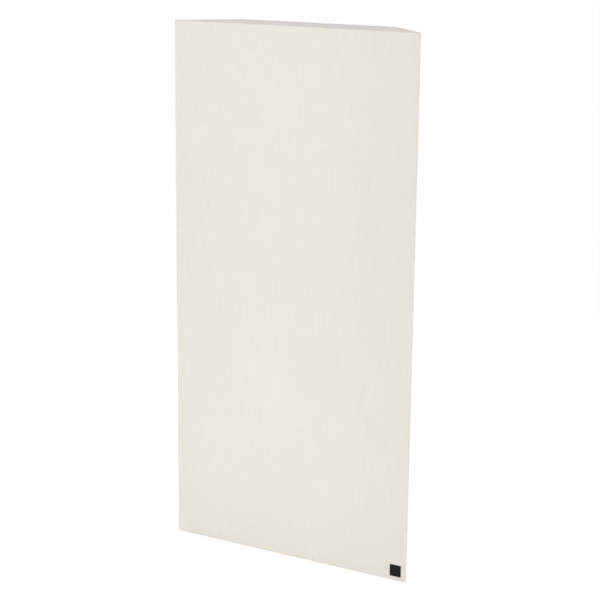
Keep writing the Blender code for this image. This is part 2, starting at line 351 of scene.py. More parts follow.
# %% Patches of cloth
class Cloth:
    """Gathers patches into one sheet."""

    def __init__(self):
        self.points = []
        self.flat = []
        self.faces = []

    def add_patch(self, points, flat, turned=False):
        """Adds a grid of points, row by row, with each point's place on the flat cloth."""
        grid = len(self.points) + np.arange(points[..., 0].size).reshape(points.shape[:2])
        faces = np.stack([grid[:-1, :-1], grid[:-1, 1:], grid[1:, 1:], grid[1:, :-1]], -1).reshape(-1, 4)
        self.points += points.reshape(-1, 3).tolist()
        self.flat += flat.reshape(-1, 2).tolist()
        self.faces += (faces[:, ::-1] if turned else faces).tolist()

    def make_piece(self, name, merge=1e-6):
        """The sheet as an object: its patches joined where their points meet."""
        mesh = bpy.data.meshes.new(name)
        mesh.from_pydata(self.points, [], self.faces)
        layer = mesh.uv_layers.new(name="flat")
        corners = np.empty(len(mesh.loops), int)
        mesh.loops.foreach_get("vertex_index", corners)
        layer.data.foreach_set("uv", np.array(self.flat)[corners].astype(np.float32).ravel())
        shape = bmesh.new()
        shape.from_mesh(mesh)
        bmesh.ops.remove_doubles(shape, verts=shape.verts, dist=merge)
        bmesh.ops.dissolve_degenerate(shape, edges=shape.edges, dist=merge)
        shape.to_mesh(mesh)
        shape.free()
        print(name, "starts with", len(mesh.vertices), "points")
        return add_object(name, mesh)


print("patches are joined where their points meet")

# %% [markdown]
# A few rules on a distance shape all the cloth here: closer points next to a bend, a soft rise where a
# fold opens, a slow wander over a wide flat, and an edge that is rolled under. Each is one function.

# %% Rules on a distance
TIGHT = [0.0006, 0.0024, 0.0060]


def smooth_step(values):
    """0 below 0, 1 above 1, and a soft rise between."""
    values = np.clip(values, 0.0, 1.0)
    return values * values * (3.0 - 2.0 * values)


def graded(length, step, start=True, end=True):
    """Distances from 0 to length, closer together next to a bend, so that flats shade flat."""
    low = TIGHT[-1] if start else 0.0
    high = length - TIGHT[-1] if end else length
    middle = np.linspace(low, high, max(1, round((high - low) / step)) + 1)
    near_start = TIGHT if start else []
    near_end = [length - gap for gap in TIGHT] if end else []
    return np.unique([0.0, *near_start, *middle, *near_end, length])


def travelled(line):
    """How far along a line of points each of them lies."""
    return np.concatenate([[0.0], np.cumsum(np.linalg.norm(np.diff(line, axis=0), axis=1))])


def slow_noise(x, z, x_scale, z_scale, layer):
    """Smooth noise around 0 at each point of a grid."""
    spots = [noise.noise(Vector((a * x_scale, b * z_scale, layer))) for a, b in zip(x.ravel(), z.ravel())]
    return np.reshape(spots, x.shape)


def turn_under(edge, flat, facing, outwards, across, radius, opening, reach, steps, shares):
    """An edge rolled under: a small roll, then a return that lies below the cloth."""
    grid = [edge]
    places = [flat]
    for angle in np.linspace(0.0, math.pi, steps + 1)[1:]:
        roll = math.sin(angle) * outwards + (math.cos(angle) - 1.0) * facing
        grid.append(edge + radius * opening * roll)
        places.append(flat + across * radius * angle * opening)
    for share in shares:
        grid.append(edge - 2 * radius * opening * facing - share * reach * outwards)
        places.append(flat + across * (radius * math.pi * opening + share * reach))
    return np.stack(grid, 1), np.stack(places, 1)


print("a flat of 40 mm between two bends, in mm:", (graded(0.04, 0.009) * 1000).round(1).tolist())


# %% Finish a piece
def apply_modifiers(piece):
    """Turns a piece's modifiers into plain mesh."""
    bpy.context.view_layer.update()
    graph = bpy.context.evaluated_depsgraph_get()
    mesh = bpy.data.meshes.new_from_object(piece.evaluated_get(graph))
    piece.modifiers.clear()
    old = piece.data
    piece.data = mesh
    bpy.data.meshes.remove(old)
    mesh.name = piece.name


def thicken(piece, thickness, tight_spots=(), reach=1.0, least=0.08):
    """Gives a sheet its thickness, inwards from the face that shows, and less of it in tight spots."""
    share = piece.vertex_groups.new(name="thickness")
    for vertex in piece.data.vertices:
        nearest = min([(vertex.co - spot).length for spot in tight_spots], default=reach)
        room = least + nearest / reach if nearest < reach else 1.0
        share.add([vertex.index], min(1.0, room), "REPLACE")
    solidify = piece.modifiers.new("thickness", "SOLIDIFY")
    solidify.thickness = thickness
    solidify.offset = -1.0
    solidify.vertex_group = share.name
    apply_modifiers(piece)


def dress(piece, material, nodes=(), sharp_angle=50.0):
    """Gives a piece its finish and smooth shading, puts it on root, and hides the imported parts it takes the
    place of.
    """
    piece.data.materials.clear()
    piece.data.materials.append(material)
    piece.data.shade_smooth()
    piece.data.set_sharp_from_angle(angle=math.radians(sharp_angle))
    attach(piece, "root")
    if nodes:
        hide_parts(*nodes)
    print("piece", piece.name, "has", len(piece.data.polygons), "faces")


print("a piece rides on root once it is dressed")

# %% [markdown]
# ## Geometry Nodes helpers
#
# Some shapes follow a rule at every point, such as the ripples of a pulled cloth, and some repeat, such
# as staples. Both are drawn once in a Geometry Nodes tree: the first moves the points of a surface, the
# second sets a thing on loose points, which carry its turn. A tree has named inputs for its sizes, and it
# ends in Realize Instances and Set Material, because the result becomes a plain mesh at once.


# %% Trees that make pieces
class Recipe(Tree):
    """A Geometry Nodes tree with named inputs."""

    def __init__(self, name):
        super().__init__(bpy.data.node_groups.new(name, "GeometryNodeTree"))
        self.group_input = self.node_tree.nodes.new("NodeGroupInput")
        self.identifiers = {}
        self.values = {}
        self.start = self.add_input("Geometry", "Geometry")
        sockets = self.node_tree.interface
        sockets.new_socket(name="Geometry", in_out="OUTPUT", socket_type="NodeSocketGeometry")

    def add_input(self, name, kind):
        """Adds an input. A modifier sets it by its identifier, so that is kept by name."""
        sockets = self.node_tree.interface
        socket = sockets.new_socket(name=name, in_out="INPUT", socket_type="NodeSocket" + kind)
        self.identifiers[name] = socket.identifier
        return Wire(self, self.group_input.outputs[name])

    def ask(self, **sizes):
        """Adds named inputs, with the values that the tree is run with. A whole number is a seed."""
        self.values.update(sizes)
        kinds = {float: "Float", int: "Int"}
        return [self.add_input(name, kinds[type(value)]) for name, value in sizes.items()]

    def read(self, name, kind="FLOAT"):
        """An attribute of the surface or of the points."""
        return self.node("GeometryNodeInputNamedAttribute", {"data_type": kind}, {"Name": name})

    def random(self, low, high, seed):
        settings = {"data_type": "FLOAT"}
        return self.node("FunctionNodeRandomValue", settings, {2: low, 3: high, "Seed": seed}, 1)

    def push_inwards(self, depth):
        """The surface with every point moved in along its normal."""
        facing = self.node("GeometryNodeInputNormal")
        push = self.node("ShaderNodeVectorMath", {"operation": "SCALE"}, {0: facing, "Scale": -depth})
        return self.node("GeometryNodeSetPosition", {}, {"Geometry": self.start, "Offset": push})

    def sweep(self, curve, section):
        """A closed body along a curve."""
        sockets = {"Curve": curve, "Profile Curve": section, "Fill Caps": True}
        return self.node("GeometryNodeCurveToMesh", {}, sockets)

    def set_on_points(self, thing, turns, scale=(1.0, 1.0, 1.0)):
        """A thing on every loose point, turned by three angles."""
        rotation = self.node("FunctionNodeEulerToRotation", {}, {0: turns})
        sockets = {"Points": self.start, "Instance": thing, "Rotation": rotation, "Scale": scale}
        return self.node("GeometryNodeInstanceOnPoints", {}, sockets)

    def end(self, geometry):
        """Realizes the instances, sets the material and ends the tree."""
        material = self.add_input("finish", "Material")
        real = self.node("GeometryNodeRealizeInstances", {}, {"Geometry": geometry})
        painted = self.node("GeometryNodeSetMaterial", {}, {"Geometry": real, "Material": material})
        last = self.node_tree.nodes.new("NodeGroupOutput")
        self.node_tree.links.new(painted.socket, last.inputs["Geometry"])
        print("recipe", self.node_tree.name, "has", len(self.node_tree.nodes), "nodes")

    def run(self, piece, material, **changes):
        """Runs the tree on a piece and keeps the result as its plain mesh."""
        modifier = piece.modifiers.new(self.node_tree.name, "NODES")
        modifier.node_group = self.node_tree
        for name, value in {**self.values, "finish": material, **changes}.items():
            modifier[self.identifiers[name]] = value
        apply_modifiers(piece)


def points_piece(name, places, turns):
    """Loose points that carry a turn, for a tree to set things on."""
    mesh = bpy.data.meshes.new(name)
    mesh.from_pydata([tuple(place) for place in places], [], [])
    attribute = mesh.attributes.new("turn", "FLOAT", "POINT")
    attribute.data.foreach_set("value", np.array(turns, np.float32))
    return add_object(name, mesh)


print("a recipe moves the points of a surface, or sets a thing on loose points")

# %% [markdown]
# ## The cover
#
# The real cover is one piece of polyester weave. It lies over the front, goes round both sides and is
# stapled on the back. At each end a flap is folded over like the end of a parcel: its slanted edges are
# turned under, it lies on the side cloth, which is tucked below it, and it too ends on the back. A cloth
# simulation would only crumple what a maker pulls tight, so the sheet is built as it lies: four quarters,
# each with flats, rolled edges, ball-shaped corners and a flap with a folded edge.

# %% Sizes of the wrap
HEM_LENGTH = 0.027
SIDE_TURN = math.radians(135)
SLANT = math.sqrt(0.5)

front_centre_y = FRONT_Y + BEND_RADIUS
back_centre_y = HEM_Y - BEND_RADIUS
top_centre_z = TOP_Z - BEND_RADIUS
front_half = half_width(front_centre_y, BEND_RADIUS)
depth_length = back_centre_y - front_centre_y
side_length = depth_length * math.sqrt(2)
side_starts = front_half + BEND_RADIUS * SIDE_TURN
side_ends = side_starts + side_length
print("flat half of the front:", round(front_half, 4), "slanted side:", round(side_length, 4))

# %% [markdown]
# Two lines carry the whole cover. One starts at the middle of the front and runs up, over the top and
# down the back. The other starts at the front corner and runs round it, along the slanted side and onto
# the back. Both are flats and bends in turn, so one function walks them. It notes the centre of each
# bend, the way the cloth faces and how far it has come, because the last is the place on the flat cloth.

# %% Walk over the top and round the side
CLOTH_STEP = 0.009
FRONT_STEP = 0.011
END_STEP = 0.008
HEM_STEP = 0.007


def walk(u, y, *parts):
    """Flats and bends in turn, as rows: centre, facing, distance walked, and the part's number."""
    turned = walked = 0.0
    line = []
    for number, (kind, stops) in enumerate(parts):
        for stop in stops[min(number, 1):]:
            run, turn = (stop, 0.0) if kind == "flat" else (0.0, stop)
            place = (u + run * math.cos(turned), y + run * math.sin(turned))
            facing = (math.sin(turned + turn), -math.cos(turned + turn))
            line.append((*place, *facing, walked + run + turn * BEND_RADIUS, number))
        u, y, _, _, walked, _ = line[-1]
        turned += turn
    return np.array(line)


quarter_bend = ("bend", np.linspace(0.0, math.pi / 2, 6))
strip_line = walk(
    MIDDLE_Z, front_centre_y,
    ("flat", graded(top_centre_z - MIDDLE_Z, FRONT_STEP, start=False)), quarter_bend,
    ("flat", graded(depth_length, END_STEP)), quarter_bend,
    ("flat", graded(HEM_LENGTH, HEM_STEP, end=False)),
)
side_line = walk(
    front_half, front_centre_y,
    ("bend", np.linspace(0.0, SIDE_TURN, 10)), ("flat", graded(side_length, CLOTH_STEP)),
    ("bend", np.linspace(0.0, math.pi - SIDE_TURN, 5)),
    ("flat", graded(HEM_LENGTH, CLOTH_STEP, end=False)),
)
flap_row = np.flatnonzero(strip_line[:, 5] == 1)[-1]
side_columns = np.flatnonzero(side_line[:, 5] == 1)
side_run = np.clip(side_line[:, 4] - BEND_RADIUS * SIDE_TURN, 0.0, side_length)
print("rows over the top:", len(strip_line), "columns round the side:", len(side_line))

# %% [markdown]
# One quarter of the cover is four patches: the strip, the flap's edge turned under, the side wrap, and
# the side cloth tucked in on top of the end plate. The strip's columns are shares of its width, so on
# the flap they close in along the slanted edges. The fold and the tuck both open from nothing at the
# sharp front corner, where the real cloth has no room to fold.

# %% The strip and the flap's folded edge
FOLD_RADIUS = 0.00043
FOLD_RETURN = 0.009
FOLD_OPENS_OVER = 0.012
HEM_MITRE = 0.85
EDGE_SHARE = 0.07
ON_TOP = 0.999


def strip_grid(wander):
    """Points and flat places of the strip. wander shifts the folded edge a little at each row."""
    z, y, face_z, face_y, along, _ = strip_line.T[..., None]
    half = half_width(y, BEND_RADIUS) - HEM_MITRE * np.maximum(along - along[-1] + HEM_LENGTH, 0.0)
    across = graded(front_half, CLOTH_STEP, start=False) / front_half
    x = half * across + wander[:, None] * smooth_step((across - 1.0 + EDGE_SHARE) / EDGE_SHARE)
    points = np.broadcast_arrays(x, y + BEND_RADIUS * face_y, z + BEND_RADIUS * face_z)
    return np.stack(points, -1), np.stack(np.broadcast_arrays(x, along), -1)


def fold_grid(points, places):
    """The flap's edge turned under."""
    edge = points[flap_row:, -1]
    face_z, face_y = strip_line[flap_row:, 2:4].T
    facing = np.stack([np.zeros_like(face_y), face_y, face_z], -1)
    outwards = np.where(face_z[:, None] > ON_TOP, (SLANT, SLANT, 0.0), (1.0, 0.0, 0.0))
    opening = smooth_step(travelled(edge) / FOLD_OPENS_OVER)[:, None]
    return turn_under(edge, places[flap_row:, -1], facing, outwards, np.array([1.0, 0.0]), FOLD_RADIUS,
                      opening, FOLD_RETURN * opening, steps=6, shares=(1 / 3, 2 / 3, 1.0))


print("the flap starts at row", flap_row)

# %% [markdown]
# Near each end the side wrap sinks by a cloth or two, so that the flap lies on it flush with the rest.

# %% The side wrap and its tuck
TUCK = 0.013
TUCK_DROP = 0.0009
TUCK_SINK = 0.00006
HEM_DROP = 0.0007
SINK_STARTS = 0.032
SINK_RAMP = 0.028


def wrap_grid():
    """Points and flat places of the side wrap, up to its rolled top edge."""
    x, y, face_x, face_y, walked, _ = side_line.T
    z, _, face_z, front_face, along, _ = strip_line[:flap_row + 1].T[..., None]
    z = z + BEND_RADIUS * face_z
    reach = -BEND_RADIUS * front_face
    sink = smooth_step((z - TOP_Z + SINK_STARTS) / SINK_RAMP)
    on_back = smooth_step((face_y - SLANT) / (1.0 - SLANT))
    z = z - TUCK_DROP * sink * smooth_step(side_run / FOLD_OPENS_OVER)
    y = y + reach * face_y - HEM_DROP * sink * on_back
    points = np.broadcast_arrays(x + reach * face_x, y, z)
    return np.stack(points, -1), np.stack(np.broadcast_arrays(front_half + walked, along), -1)


def tuck_grid(points, places):
    """The side cloth tucked in on top, under the flap. It starts narrow at the front corner."""
    on_side = slice(side_columns[0] - 1, side_columns[-1] + 1)
    reach = TUCK * smooth_step(side_run[on_side] / (2 * FOLD_OPENS_OVER))[:, None]
    tucked = [points[-1, on_side]]
    laid = [places[-1, on_side]]
    for share in (0.15, 0.5, 1.0):
        inwards = share * reach * np.array([-SLANT, -SLANT, 0.0])
        tucked.append(tucked[0] + inwards - np.array([0.0, 0.0, TUCK_SINK]))
        laid.append(laid[0] + share * reach * np.array([0.0, 1.0]))
    return np.stack(tucked), np.stack(laid)


print("columns on the slanted side:", len(side_columns))

# %% Join four quarters
EDGE_WANDER = 0.0007
WANDER_SCALE = 32.0
WANDER_STARTS_OVER = 0.015


def add_quarter(cloth, right, up, seed):
    """Adds one quarter of the cover, mirrored to its side of the middle."""
    along = strip_line[flap_row:, 4] - strip_line[flap_row, 4]
    wobble = [noise.noise(Vector((length * WANDER_SCALE, seed, 0.5))) for length in along]
    wander = np.zeros(len(strip_line))
    wander[flap_row:] = EDGE_WANDER * np.array(wobble) * smooth_step(along / WANDER_STARTS_OVER)
    strip = strip_grid(wander)
    wrap = wrap_grid()
    for points, flat in (strip, fold_grid(*strip), wrap, tuck_grid(*wrap)):
        points = points.copy()
        points[..., 0] *= right
        points[..., 2] = MIDDLE_Z + up * (points[..., 2] - MIDDLE_Z)
        cloth.add_patch(points, flat * np.array([right, up]), turned=right * up < 0)


cover_cloth = Cloth()
for quarter, (right, up) in enumerate(((1, 1), (-1, 1), (1, -1), (-1, -1))):
    add_quarter(cover_cloth, right, up, 3.0 + 7.0 * quarter)
cover = cover_cloth.make_piece("cover")

# %% [markdown]
# ## Woven cloth
#
# The cover is a plain weave of matt polyester yarn, just under a millimetre between threads. Each thread
# goes over one and under the next, so its height is a rounded ridge that swells at every other crossing.
# Yarn is never even: a thread that is slightly thicker or duller over some centimetres draws the faint
# upright streaks seen in the photograph, and a few slubs show as small darker dashes. All of it follows
# the flat cloth's own coordinates, so the threads run round the edges unbroken.

# %% Finish: pale woven polyester
WARP_PITCH = 0.00090
WEFT_PITCH = 0.00080
YARN_RELIEF = 0.00018
YARN_SHADE = (0.655, 0.627, 0.565)
YARN_LIGHT = (0.880, 0.850, 0.782)

finish = Finish("woven_cloth", on_cloth=True)
across, along = finish.axes
warp = across.wave(WARP_PITCH)
weft = along.wave(WEFT_PITCH)
crossing = warp * weft * 0.5
ridge = (abs(warp) * (crossing + 0.5)).math("MAXIMUM", abs(weft) * (0.5 - crossing))
streak = finish.grain((330, 13), 3, 0.6)
cross_streak = finish.grain((15, 400), layer=4)
slub = ((finish.grain((260, 60), 1, layer=9) - 0.70) * 8.0).clamped()
cloud = finish.grain((7, 5), layer=2)
light = 0.60 + (streak - 0.5) * 0.36 + (cross_streak - 0.5) * 0.18 + (cloud - 0.5) * 0.12
# The ridge term is painted shade: the colour is darker in the gaps between threads, where shade falls.
light = light + (ridge - 0.45) * 0.24 - slub * 0.25
woven_cloth = finish.surface({
    "Base Color": finish.mix(light, YARN_SHADE, YARN_LIGHT),
    "Roughness": 0.96 - ridge * 0.10,
    "Normal": finish.bump(ridge + (streak - 0.5) * 0.5 + slub * 0.4, YARN_RELIEF, 0.6),
    "Specular IOR Level": 0.25,
    "Sheen Weight": 0.06,
    "Sheen Roughness": 0.5,
})

# %% [markdown]
# Pulled cloth is never a perfect plane. The front gets a hollow of a tenth of a millimetre here and
# there, and the slanted sides get short ripples that start at the staples under the back cloth and die
# out within a few centimetres. Both are rules on the place on the flat cloth, so a Geometry Nodes tree
# reads the UV map, works out a depth for every point and moves the point in along its normal. Nothing
# goes outwards, so the cover keeps its size.

# %% Recipe: pulled cloth
pulled_cloth = Recipe("pulled_cloth")
hollow, ripple, pitch, fade, start, end, rippled_half, seed = pulled_cloth.ask(
    hollow_depth=0.00012, ripple_depth=0.00022, ripple_pitch=0.054, ripple_reach=0.020,
    side_starts=side_starts, side_ends=side_ends, rippled_half_height=MIDDLE_Z - 0.02, pattern=2.0)
across, along = pulled_cloth.split(pulled_cloth.read("flat", "FLOAT_VECTOR"), "XY")
from_middle = abs(across)
on_side = from_middle.math("GREATER_THAN", start) * from_middle.math("LESS_THAN", end)
on_side = on_side * abs(along).math("LESS_THAN", rippled_half)
drift = pulled_cloth.noise(across, along * 9.0, seed + 6.0, 0.0) * 3.0 - 1.5
wave = (along * (2 * math.pi) / pitch + drift).math("COSINE") * 0.5 + 0.5
dying_out = ((from_middle - end) / fade).math("EXPONENT")
hollows = pulled_cloth.noise(across * 9.0, along * 4.0, seed, 0.0) * hollow
pulled_cloth.end(pulled_cloth.push_inwards(hollows + ripple * wave * dying_out * on_side))

# %% Pull the cover tight and give it its thickness
CLOTH_THICKNESS = 0.00042
THIN_CORNER = 0.013
pulled_cloth.run(cover, woven_cloth)
front_corners = [Vector((side * front_half, front_centre_y, z)) for side in (-1, 1) for z in (0.0, TOP_Z)]
thicken(cover, CLOTH_THICKNESS, front_corners, THIN_CORNER)
dress(cover, woven_cloth, ["fabric_cover"])

# %% [markdown]
# ## The back cloth
#
# The back is closed with black spunbond, a thin non-woven dust cloth. Its edges are turned under and it
# is stapled all round, close to the fold. Between two staples the edge draws back a little, at a staple
# the cloth is pinched, and over the open middle it hangs slightly slack, except where it lies on the two
# straps. These are rules on the distance to the edge, to the staples and to the straps, so the sheet is
# a grid moved by those rules. The staples are placed first. No two are quite even.

# %% Place the staples
STAPLE_INSET = 0.0032
STAPLE_END_GAP = 0.017
STAPLE_PITCH = 0.055
STAPLE_SLIP = 0.004
STAPLE_WANDER = 0.0006
STAPLE_TILT = 0.12
cloth_low, cloth_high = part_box("back_cloth")
CLOTH_HALF = (cloth_high.x, (cloth_high.z - cloth_low.z) / 2)
CLOTH_MIDDLE = (0.0, (cloth_high.z + cloth_low.z) / 2)


def staple_row(axis):
    """Places along an edge, evenly apart with both ends kept clear of the corner."""
    reach = CLOTH_HALF[axis] - STAPLE_END_GAP
    return CLOTH_MIDDLE[axis] + np.linspace(-reach, reach, round(2 * reach / STAPLE_PITCH) + 1)


def staple_places():
    """Every staple as x, z and its turn: 0 lies along x, 90 degrees along z."""
    inset_x, inset_z = (half - STAPLE_INSET for half in CLOTH_HALF)
    even = [(side * inset_x, z, math.pi / 2) for z in staple_row(1) for side in (1, -1)]
    even += [(x, CLOTH_MIDDLE[1] + side * inset_z, 0.0) for x in staple_row(0) for side in (-1, 1)]
    shaky = []
    for number, (x, z, turn) in enumerate(even):
        slip = STAPLE_SLIP * noise.noise(Vector((number * 1.7, 4.2, 0.3)))
        wander = STAPLE_WANDER * noise.noise(Vector((number * 2.3, 9.1, 0.7)))
        tilt = STAPLE_TILT * noise.noise(Vector((number * 3.1, 1.4, 5.0)))
        shift_x, shift_z = (wander, slip) if turn else (slip, wander)
        shaky.append((x + shift_x, z + shift_z, turn + tilt))
    return np.array(shaky)


staples = staple_places()
print("staples:", len(staples))

# %% How far the back cloth sinks
PINCH = 0.00034
PINCH_LENGTH = 0.0062
PINCH_WIDTH = 0.0024
SLACK = 0.0011
SLACK_STARTS = 0.022
SLACK_RAMP = 0.045
COCKLE = 0.00016
STRAP_RAMP = 0.030
STRAP_MARGIN = 0.002
STRAP_SLACK = 0.12


def back_depth(x, z, to_edge):
    """How far in the cloth lies: pinched at the staples, slack in the middle, tight on the straps."""
    depth = np.zeros_like(x)
    for staple_x, staple_z, turn in staples:
        ahead = (x - staple_x) * math.cos(turn) + (z - staple_z) * math.sin(turn)
        aside = -(x - staple_x) * math.sin(turn) + (z - staple_z) * math.cos(turn)
        depth += PINCH * np.exp(-(np.abs(ahead) / PINCH_LENGTH) ** 4 - (aside / PINCH_WIDTH) ** 2)
    loose = smooth_step((to_edge - SLACK_STARTS) / SLACK_RAMP)
    for strap in ("back_strap_lower", "back_strap_upper"):
        low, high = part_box(strap)
        off_strap = np.maximum(low.z - z, z - high.z)
        loose *= STRAP_SLACK + (1.0 - STRAP_SLACK) * smooth_step((off_strap + STRAP_MARGIN) / STRAP_RAMP)
    billow = 0.55 + 0.9 * slow_noise(x, z, 7.0, 5.0, 1.0)
    return depth + loose * (SLACK * billow + COCKLE * slow_noise(x, z, 34.0, 26.0, 6.0))


print("the cloth sinks by up to", round((SLACK * 1.45 + COCKLE + PINCH) * 1000, 1), "mm")

# %% [markdown]
# The sheet starts as a flat grid. Along each of its four edges a wave is 0 at the staples and 1 half way
# between two. It draws the edge back and lifts it a little, and both die out towards the middle.

# %% Shape the back cloth
SPUNBOND_STEPS = (0.0045, 0.006)
SHEET_INSET = 0.00020
SCALLOP = 0.0011
SCALLOP_REACH = 0.018
EDGE_LIFT = 0.00020
EDGE_LIFT_REACH = 0.009
CORNER_CLEAR = 0.012
UPRIGHT_TURN = 0.5


def edge_wave(values, fixed):
    """0 at each staple along an edge, and 1 half way between two."""
    fixed = np.sort(fixed)
    padded = np.concatenate([[2 * fixed[0] - fixed[1]], fixed, [2 * fixed[-1] - fixed[-2]]])
    return 0.5 - 0.5 * np.cos(2 * math.pi * np.interp(values, padded, np.arange(len(padded))))


def shape_back_cloth():
    """Points and flat places of the sheet, without its turned edges."""
    flat = np.meshgrid(*(
        middle + np.linspace(-half, half, round(2 * half / step) + 1)
        for middle, half, step in zip(CLOTH_MIDDLE, CLOTH_HALF, SPUNBOND_STEPS)))
    to_edge = [half - np.abs(place - middle) for place, middle, half in zip(flat, CLOTH_MIDDLE, CLOTH_HALF)]
    moved = [place.copy() for place in flat]
    lift = np.zeros_like(flat[0])
    for axis, side in ((0, 1), (0, -1), (1, 1), (1, -1)):
        other = 1 - axis
        near = np.sign(flat[axis] - CLOTH_MIDDLE[axis]) == side
        in_row = (np.abs(staples[:, 2]) > UPRIGHT_TURN) == (axis == 0)
        in_row &= np.sign(staples[:, axis] - CLOTH_MIDDLE[axis]) == side
        wave = near * edge_wave(flat[other], staples[in_row, other])
        wave = wave * smooth_step(to_edge[other] / CORNER_CLEAR)
        moved[axis] -= side * SCALLOP * wave * np.exp(-to_edge[axis] / SCALLOP_REACH)
        lift += EDGE_LIFT * wave * np.exp(-to_edge[axis] / EDGE_LIFT_REACH)
    y = cloth_high.y - SHEET_INSET - back_depth(*flat, np.minimum(*to_edge)) + lift
    # Seen from the back, +x is on the left, so the columns run from +x to -x.
    return np.stack([moved[0], y, moved[1]], -1)[:, ::-1], np.stack(flat, -1)[:, ::-1]


points, flat = shape_back_cloth()
print("grid of the back cloth:", points.shape[:2])

# %% Turn its edges under
SPUNBOND_THICKNESS = 0.00022
SPUNBOND_ROLL = 0.00024
SPUNBOND_RETURN = 0.009
MITRE_OPENS_OVER = 0.004
MITRE_SHARE = 0.95


def back_hem(edge, flat, outwards):
    """One edge rolled under, with a return that narrows to a mitre at both corners."""
    run = travelled(edge)
    from_corner = np.minimum(run, run[-1] - run)[:, None]
    opening = smooth_step(from_corner / MITRE_OPENS_OVER)
    reach = np.minimum(SPUNBOND_RETURN, from_corner * MITRE_SHARE)
    outwards = np.array(outwards)
    return turn_under(edge, flat, np.array([0.0, 1.0, 0.0]), outwards, outwards[[0, 2]], SPUNBOND_ROLL,
                      opening, reach, steps=4, shares=(0.4, 1.0))


back_sheet = Cloth()
back_sheet.add_patch(points, flat)
back_sheet.add_patch(*back_hem(points[:, -1], flat[:, -1], (-1.0, 0.0, 0.0)))
back_sheet.add_patch(*back_hem(points[::-1, 0], flat[::-1, 0], (1.0, 0.0, 0.0)))
back_sheet.add_patch(*back_hem(points[-1, ::-1], flat[-1, ::-1], (0.0, 0.0, 1.0)))
back_sheet.add_patch(*back_hem(points[0], flat[0], (0.0, 0.0, -1.0)))
back_cloth = back_sheet.make_piece("dust_cloth")
thicken(back_cloth, SPUNBOND_THICKNESS)

# %% [markdown]
# Spunbond is made of endless plastic threads laid at random and welded together at small oval spots.
# The spots are a staggered grid about a millimetre and a half apart, each a tiny smooth dent, and the
# threads between them are two stretched noises that cross. Black cloth still reflects a little light at
# the threads, so it gets some sheen.

# %% Finish: black spunbond
SPOT_PITCH = (0.0016, 0.0013)

finish = Finish("black_spunbond", on_cloth=True)
across, along = finish.axes
grid = along.wave(SPOT_PITCH[1]) * across.wave(SPOT_PITCH[0])
spot = ((abs(grid) - 0.55) * 3.0).clamped()
rising = finish.noise(across * 900 + along * 500, along * 900 - across * 500, 1.0, 2.0, 0.6)
threads = finish.grain((2600, 420), 2, 0.6).math("MAXIMUM", finish.grain((420, 2600), 2, 0.6, layer=5))
cloud = finish.grain((110, 70), 4, 0.65, layer=3)
lane = finish.grain((26, 5), layer=7)
light = 0.34 + (threads - 0.5) * 0.9 + (cloud - 0.5) * 1.5 + (lane - 0.5) * 0.5 - spot * 0.25
spunbond = finish.surface({
    "Base Color": finish.mix(light, (0.0055, 0.0055, 0.0060), (0.0270, 0.0270, 0.0285)),
    "Roughness": 0.66 - spot * 0.20,
    "Normal": finish.bump(threads * 0.5 + rising * 0.4 - spot * 0.9, 0.00012, 0.8),
    "Specular IOR Level": 0.16,
    "Sheen Weight": 0.04,
    "Sheen Roughness": 0.45,
})
dress(back_cloth, spunbond, ["back_cloth"])

# %% [markdown]
# ## Staples
#
# A cloth staple is a flat steel wire bent twice. Four points make its line, a fillet rounds the two
# shoulders, and a small rectangle swept along it gives the wire. The crown sinks slightly into the cloth
# and the legs go into the timber. The wire is galvanised, drawn lengthwise and slightly dull.

# %% Recipe: staples
staple = Recipe("staples")
crown, leg, wide, thick, shoulder, seed = staple.ask(
    crown_width=0.0100, leg_length=0.0060, wire_width=0.00075, wire_thickness=0.00050,
    shoulder_radius=0.00060, seed=11)
side = staple.node("GeometryNodeInputIndex") - 1.5
bend = staple.vector(crown * 0.5 * side.math("SIGN"), 0.0, -leg * abs(side).math("GREATER_THAN", 1.0))
line = staple.node("GeometryNodeMeshLine", {}, {"Count": 4})
bent = staple.node("GeometryNodeSetPosition", {}, {"Geometry": line, "Position": bend})
curve = staple.node("GeometryNodeMeshToCurve", {}, {"Mesh": bent})
rounded = staple.node("GeometryNodeFilletCurve", {"mode": "POLY"},
                      {"Curve": curve, "Radius": shoulder, "Count": 3, "Limit Radius": True})
section = staple.node("GeometryNodeCurvePrimitiveQuadrilateral", {"mode": "RECTANGLE"},
                      {"Width": thick, "Height": wide})
turns = staple.vector(staple.random(-0.05, 0.05, seed) - math.pi / 2, -staple.read("turn"))
staple.end(staple.set_on_points(staple.sweep(rounded, section), turns))

# %% Finish: staple wire
STAPLE_PROUD = 0.00016

finish = Finish("staple_wire")
drawn = finish.grain((2500, 2500, 2500), 2, 0.6)
stain = finish.grain((160, 160, 160))
staple_wire = finish.surface({
    "Base Color": finish.mix(drawn * 0.6 + stain * 0.4, (0.25, 0.26, 0.27), (0.47, 0.48, 0.49)),
    "Metallic": 1.0,
    "Roughness": 0.34 + stain * 0.22,
    "Normal": finish.bump(drawn, 0.00003, 0.6),
})
staple_y = cloth_high.y - SHEET_INSET - PINCH + STAPLE_PROUD
staples_piece = points_piece("staples", [(x, staple_y, z) for x, z, _ in staples], staples[:, 2])
staple.run(staples_piece, staple_wire)
dress(staples_piece, staple_wire, sharp_angle=40.0)

# %% [markdown]
# ## The label
#
# A small square woven label sits low on the right of the front. It is bare. The real one is a piece of
# satin ribbon with its edges turned under, sewn on close to the fold, so it is a thin pillow: rounded
# edges, a shallow groove under the stitches and a flat back. A grid moved by the distance to its edge
# gives all three.

# %% Shape the label
LABEL_ROUND = 0.00025
LABEL_GROOVE = 0.00012
LABEL_GROOVE_INSET = 0.0016
LABEL_GROOVE_WIDTH = 0.00035
LABEL_PILLOW = 0.00006
LABEL_PILLOW_STARTS = 0.002
LABEL_PILLOW_RAMP = 0.008
LABEL_CELLS = 46
label_low, label_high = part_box("label")
label_middle = (label_low + label_high) / 2
label_half = (label_high.x - label_low.x) / 2

